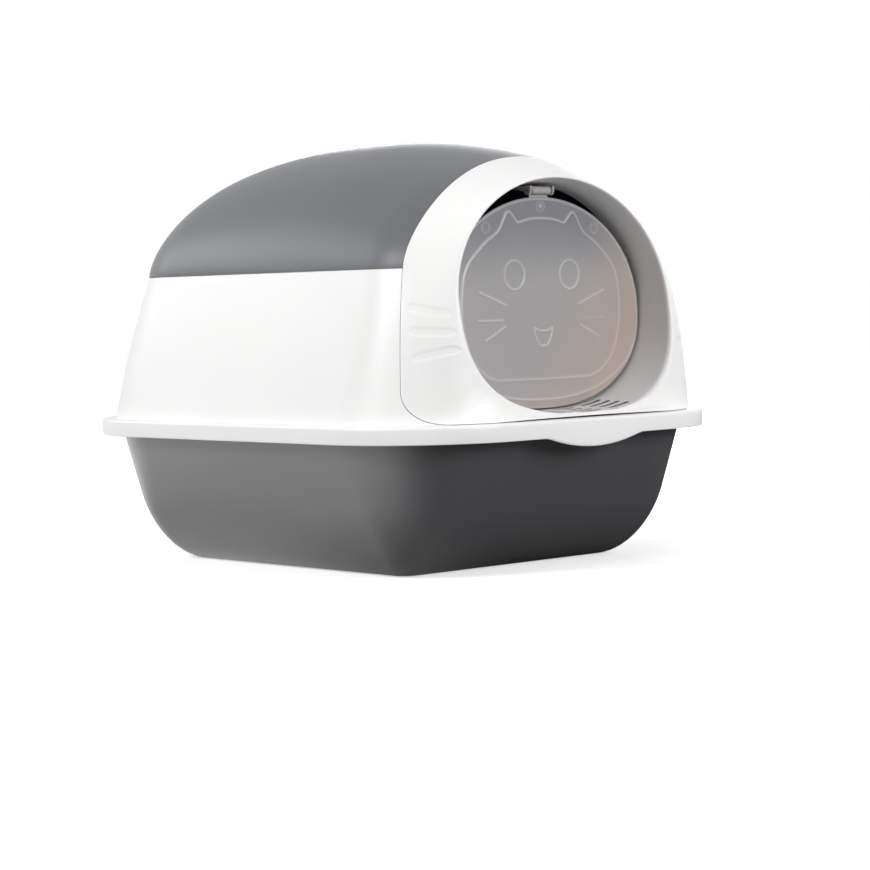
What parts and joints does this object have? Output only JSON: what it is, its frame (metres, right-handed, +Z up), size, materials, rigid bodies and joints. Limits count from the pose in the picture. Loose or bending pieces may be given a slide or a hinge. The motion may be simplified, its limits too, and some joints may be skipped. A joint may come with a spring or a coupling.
{
  "type": "hooded cat litter box",
  "caption": "Front-entry hooded litter box: deep drafted tray, skirted hood with an arched entry tunnel, hinged dome cover and a hanging see-through swing door with a plain cat face.",
  "frame": {"origin": "centre of the outer box, on the tray's flat underside", "axes": "+Z up, -Y out of the entry at the front, +X to the right of somebody who faces the entry"},
  "size_m": [0.4, 0.5, 0.3715],
  "materials": {
    "tray_plastic": "dark grey moulded plastic with a soft gloss",
    "white_plastic": "white moulded plastic with a soft gloss",
    "lid_plastic": "grey moulded plastic, satin",
    "door_plastic": "frosted see-through moulded plastic",
    "clip_plastic": "milky moulded plastic",
    "pin_plastic": "plain grey moulded plastic"
  },
  "bodies": {
    "tray_body": {"tray": "tray_plastic"},
    "hood": {"hood_frame": "white_plastic", "entry_bezel": "white_plastic", "hanger_bracket": "clip_plastic", "hanger_pin": "pin_plastic", "lid_hinge_pin_left": "pin_plastic", "lid_hinge_pin_right": "pin_plastic"},
    "lid": {"dome_lid": "lid_plastic"},
    "door": {"door_flap": "door_plastic", "door_hanger": "clip_plastic"}
  },
  "joints": [
    {"name": "hood_lift", "type": "slide", "parent": "tray_body", "child": "hood", "axis": [0, 0, 1], "range_m": [0, 0.15]},
    {"name": "lid_hinge", "type": "hinge", "parent": "hood", "child": "lid", "pos_m": [0, 0.21745, 0.258], "axis": [-1, 0, 0], "range_deg": [0, 105]},
    {"name": "door_swing", "type": "hinge", "parent": "hood", "child": "door", "pos_m": [0, -0.189, 0.3221], "axis": [1, 0, 0], "range_deg": [-40, 70]}
  ]
}
